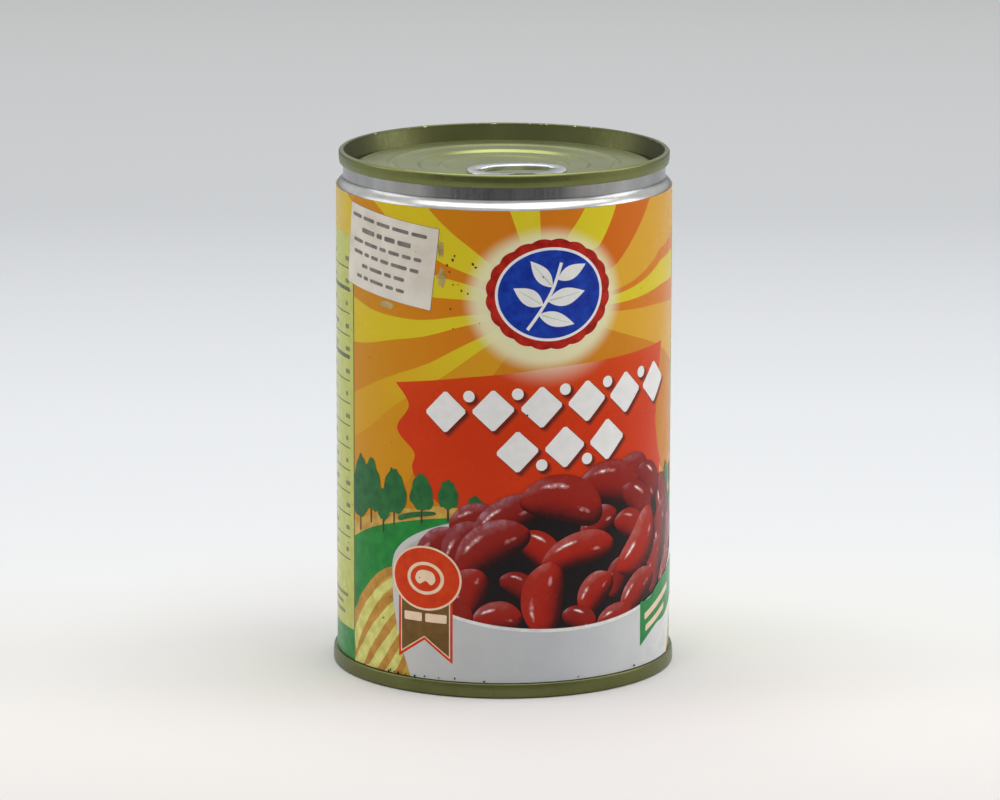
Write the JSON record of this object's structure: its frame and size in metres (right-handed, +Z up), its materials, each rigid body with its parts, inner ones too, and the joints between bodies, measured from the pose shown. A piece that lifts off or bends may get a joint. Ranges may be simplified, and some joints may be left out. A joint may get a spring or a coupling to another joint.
{
  "type": "canned beans",
  "caption": "Shut steel food can of red kidney beans with a printed wrap label, a necked top and an easy-open end with a ring pull.",
  "frame": {"origin": "the middle of the circle that the can stands on, at the foot of the bottom seam", "axes": "+Z up along the can's axis; -Y out through the front of the label; the ring pull points 9.3 degrees from -Y towards +X"},
  "size_m": [0.0748, 0.0748, 0.1135],
  "materials": {
    "tinplate": "bright rolled tinplate",
    "lacquered_tinplate": "olive-gold lacquer, satin",
    "tab_steel": "pressed bright steel",
    "printed_label": "glossy colour print",
    "sticker_paper": "matt"
  },
  "bodies": {
    "root": {"can_body": "tinplate", "top_end": "lacquered_tinplate", "bottom_end": "lacquered_tinplate", "pull_tab": "tab_steel", "tab_rivet": "lacquered_tinplate", "label": "printed_label", "paper_sticker": "sticker_paper"}
  },
  "joints": []
}
